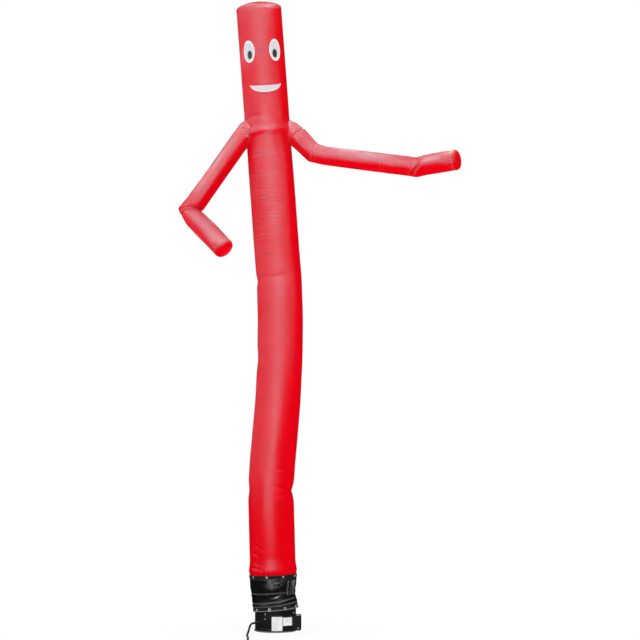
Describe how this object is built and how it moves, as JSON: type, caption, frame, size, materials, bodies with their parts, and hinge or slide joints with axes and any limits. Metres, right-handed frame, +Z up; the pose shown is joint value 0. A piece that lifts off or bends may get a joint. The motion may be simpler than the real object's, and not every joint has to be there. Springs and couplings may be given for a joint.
{
  "type": "inflatable air dancer on a blower",
  "caption": "Tall inflated cloth tube figure with a face, a bent arm and a reaching arm, buttoned by a black skirt onto a round fan blower with a mains cord.",
  "frame": {"origin": "centre of the blower's flat underside, on the floor", "axes": "+Z up the figure, -Y the way its face looks, +X towards the reaching arm"},
  "size_m": [1.4361, 0.8683, 3.1881],
  "materials": {
    "red_nylon": "thin coated nylon with a soft gloss",
    "white_nylon": "matt woven",
    "grey_nylon": "matt woven",
    "black_vinyl": "supple glossy sheet",
    "black_webbing": "close woven binding",
    "nickel_plate": "satin",
    "black_plastic": "fine moulded grain",
    "grey_plastic": "matt",
    "pale_plate": "smooth",
    "cord_rubber": "matt"
  },
  "bodies": {
    "root": {"tube_body": "red_nylon", "crown_cap": "red_nylon", "arm_bent": "red_nylon", "arm_reaching": "red_nylon", "hand_cap_bent": "red_nylon", "hand_cap_reaching": "red_nylon", "eye_white_left": "white_nylon", "eye_white_right": "white_nylon", "mouth": "white_nylon", "pupil_left": "grey_nylon", "pupil_right": "grey_nylon", "skirt": "black_vinyl", "closure_flap": "black_vinyl", "skirt_top_band": "black_webbing", "eyelet_band": "black_webbing", "press_stud_1": "nickel_plate", "press_stud_2": "nickel_plate", "press_stud_3": "nickel_plate", "press_stud_4": "nickel_plate", "press_stud_5": "nickel_plate", "press_stud_6": "nickel_plate", "press_stud_7": "nickel_plate", "press_stud_8": "nickel_plate", "press_stud_9": "nickel_plate", "grommet_1": "nickel_plate", "grommet_2": "nickel_plate", "grommet_3": "nickel_plate", "grommet_4": "nickel_plate", "grommet_5": "nickel_plate", "grommet_6": "nickel_plate", "grommet_7": "nickel_plate", "grommet_8": "nickel_plate", "grommet_9": "nickel_plate", "blower_screw_1": "nickel_plate", "blower_screw_2": "nickel_plate", "blower_screw_3": "nickel_plate", "blower_screw_4": "nickel_plate", "blower_drum": "black_plastic", "blower_side_box": "black_plastic", "cord_gland": "black_plastic", "plug_body": "black_plastic", "blower_base": "grey_plastic", "blank_plate_large": "pale_plate", "blank_plate_small": "pale_plate", "cord_run": "cord_rubber", "cord_coil": "cord_rubber", "cord_tail": "cord_rubber", "plug_blade_left": "nickel_plate", "plug_blade_right": "nickel_plate", "plug_pin": "nickel_plate"}
  },
  "joints": []
}
